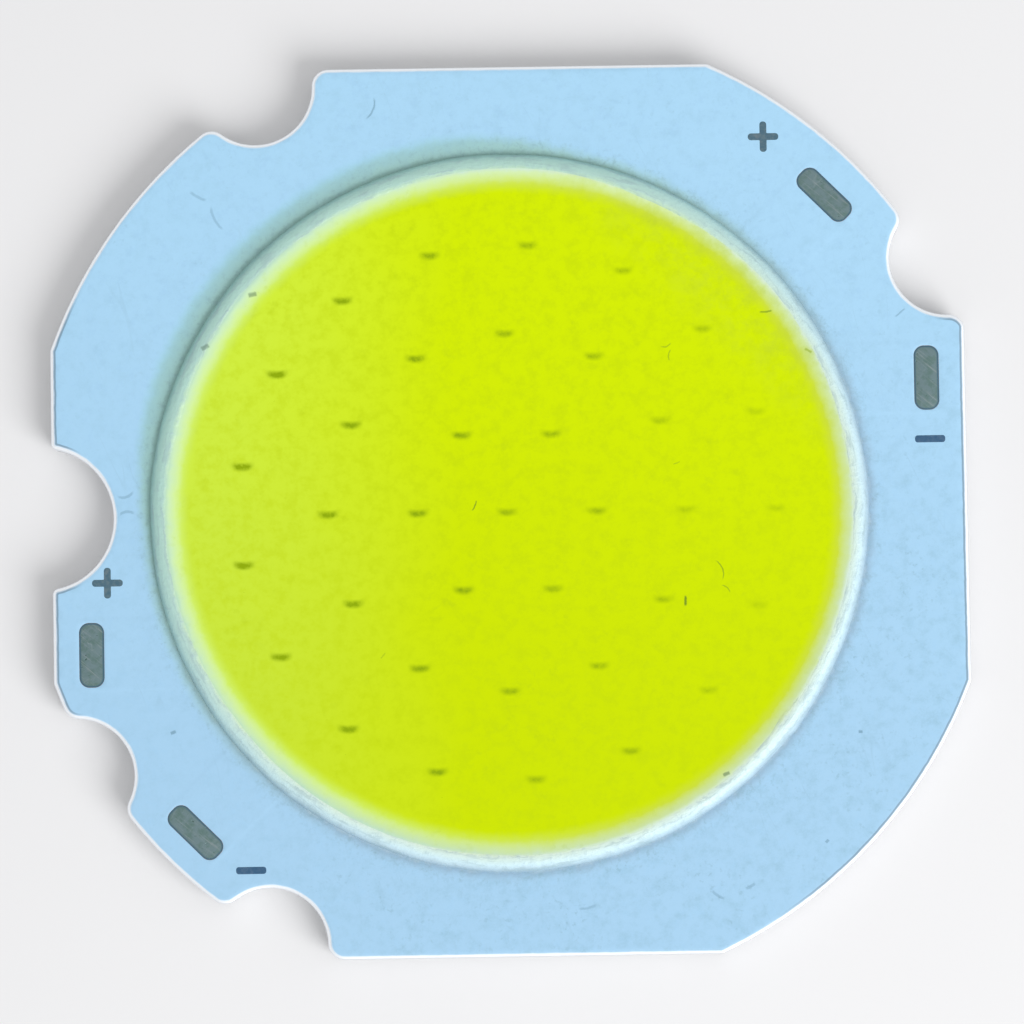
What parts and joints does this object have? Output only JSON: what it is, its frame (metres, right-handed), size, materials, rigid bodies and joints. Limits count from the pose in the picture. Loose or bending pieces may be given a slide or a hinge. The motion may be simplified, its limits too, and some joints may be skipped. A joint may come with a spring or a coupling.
{
  "type": "chip-on-board led module",
  "caption": "Flat round-cornered aluminium-core LED board with edge notches, corner solder pads and a round yellow phosphor field inside a white silicone dam.",
  "frame": {"origin": "middle of the board's flat back face", "axes": "+Z out of the light side; +X towards the flat side with the minus pad, away from the wire notch; +Y towards the flat side beside the top plus pad"},
  "size_m": [0.044, 0.0428, 0.0023],
  "materials": {
    "aluminium_plate": "rolled sheet, punched edge",
    "dielectric": "filled epoxy, matt",
    "copper_foil": "etched foil, satin",
    "solder_mask": "white solder mask, eggshell",
    "solder_tin": "dull tinned, scratched",
    "dam_silicone": "translucent white silicone, glossy",
    "phosphor_silicone": "yellow-green phosphor in silicone, satin gloss",
    "led_die": "polished chip seen through phosphor",
    "bond_wire_gold": "bright fine wire"
  },
  "bodies": {
    "root": {"base_plate": "aluminium_plate", "dielectric_layer": "dielectric", "copper_bus_plus": "copper_foil", "copper_bus_minus": "copper_foil", "solder_mask": "solder_mask", "solder_pad_plus_top": "solder_tin", "solder_pad_minus_right": "solder_tin", "solder_pad_plus_left": "solder_tin", "solder_pad_minus_bottom": "solder_tin", "dam_ring": "dam_silicone", "phosphor_fill": "phosphor_silicone", "bond_wires_a": "bond_wire_gold", "bond_wires_b": "bond_wire_gold", "led_die_01": "led_die", "led_die_02": "led_die", "led_die_03": "led_die", "led_die_04": "led_die", "led_die_05": "led_die", "led_die_06": "led_die", "led_die_07": "led_die", "led_die_08": "led_die", "led_die_09": "led_die", "led_die_10": "led_die", "led_die_11": "led_die", "led_die_12": "led_die", "led_die_13": "led_die", "led_die_14": "led_die", "led_die_15": "led_die", "led_die_16": "led_die", "led_die_17": "led_die", "led_die_18": "led_die", "led_die_19": "led_die", "led_die_20": "led_die", "led_die_21": "led_die", "led_die_22": "led_die", "led_die_23": "led_die", "led_die_24": "led_die", "led_die_25": "led_die", "led_die_26": "led_die", "led_die_27": "led_die", "led_die_28": "led_die", "led_die_29": "led_die", "led_die_30": "led_die", "led_die_31": "led_die", "led_die_32": "led_die", "led_die_33": "led_die", "led_die_34": "led_die", "led_die_35": "led_die", "led_die_36": "led_die"}
  },
  "joints": []
}
